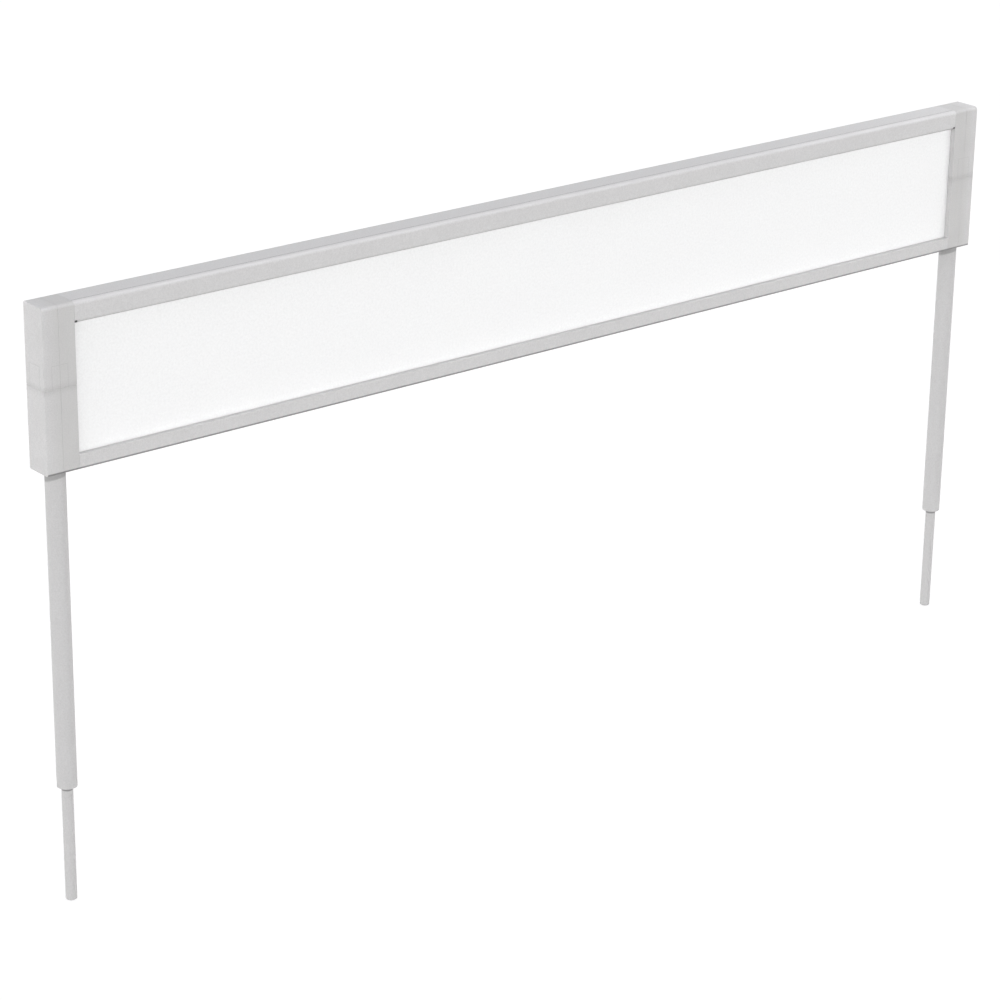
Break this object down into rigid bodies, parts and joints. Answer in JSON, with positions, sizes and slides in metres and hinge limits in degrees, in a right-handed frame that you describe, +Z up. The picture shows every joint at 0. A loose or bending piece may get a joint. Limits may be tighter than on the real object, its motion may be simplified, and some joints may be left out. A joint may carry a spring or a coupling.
{
  "type": "sneeze guard",
  "caption": "Counter-top sneeze guard: a long framed opal panel with end blocks on two tubular posts, whose studs pass down through the counter. The top of the frame lifts off.",
  "frame": {"origin": "on the counter plane, midway between the two posts, where the studs enter the counter", "axes": "+X along the guard to the right as the guest sees it, +Y from the guest side to the staff side, +Z up"},
  "size_m": [1.5686, 0.0394, 0.7749],
  "materials": {
    "block_moulding": "light grey moulded plastic, fine satin grain",
    "rail_coat": "extruded aluminium, light grey powder coat",
    "post_paint": "steel tube and rod, light grey powder coat",
    "turned_steel": "turned steel",
    "screw_steel": "stainless steel screws",
    "opal_acrylic": "opal white cast acrylic sheet, polished",
    "bead_extrusion": "light grey extruded glazing bead",
    "black_rubber": "black rubber"
  },
  "bodies": {
    "lower_frame": {"bottom_rail": "rail_coat", "bottom_rail_screws": "screw_steel", "bottom_glazing_bead": "bead_extrusion", "guard_panel": "opal_acrylic", "lower_shell_screws": "screw_steel", "left_post_tube": "post_paint", "left_stud_bushing": "turned_steel", "left_counter_stud": "post_paint", "left_coupling_spigot": "turned_steel", "left_lower_outer_shell": "block_moulding", "left_lower_inner_shell": "block_moulding", "left_lower_glazing_bead": "bead_extrusion", "right_post_tube": "post_paint", "right_stud_bushing": "turned_steel", "right_counter_stud": "post_paint", "right_coupling_spigot": "turned_steel", "right_lower_outer_shell": "block_moulding", "right_lower_inner_shell": "block_moulding", "right_lower_glazing_bead": "bead_extrusion"},
    "top_frame": {"top_rail": "rail_coat", "top_rail_fascia": "rail_coat", "top_rail_screws": "screw_steel", "top_glazing_bead": "bead_extrusion", "corner_buffers": "black_rubber", "upper_shell_screws": "screw_steel", "left_upper_outer_shell": "block_moulding", "left_upper_inner_shell": "block_moulding", "left_upper_glazing_bead": "bead_extrusion", "right_upper_outer_shell": "block_moulding", "right_upper_inner_shell": "block_moulding", "right_upper_glazing_bead": "bead_extrusion"}
  },
  "joints": [
    {"name": "top_frame_lift", "type": "slide", "parent": "lower_frame", "child": "top_frame", "axis": [0, 0, 1], "range_m": [0, 0.12]}
  ]
}
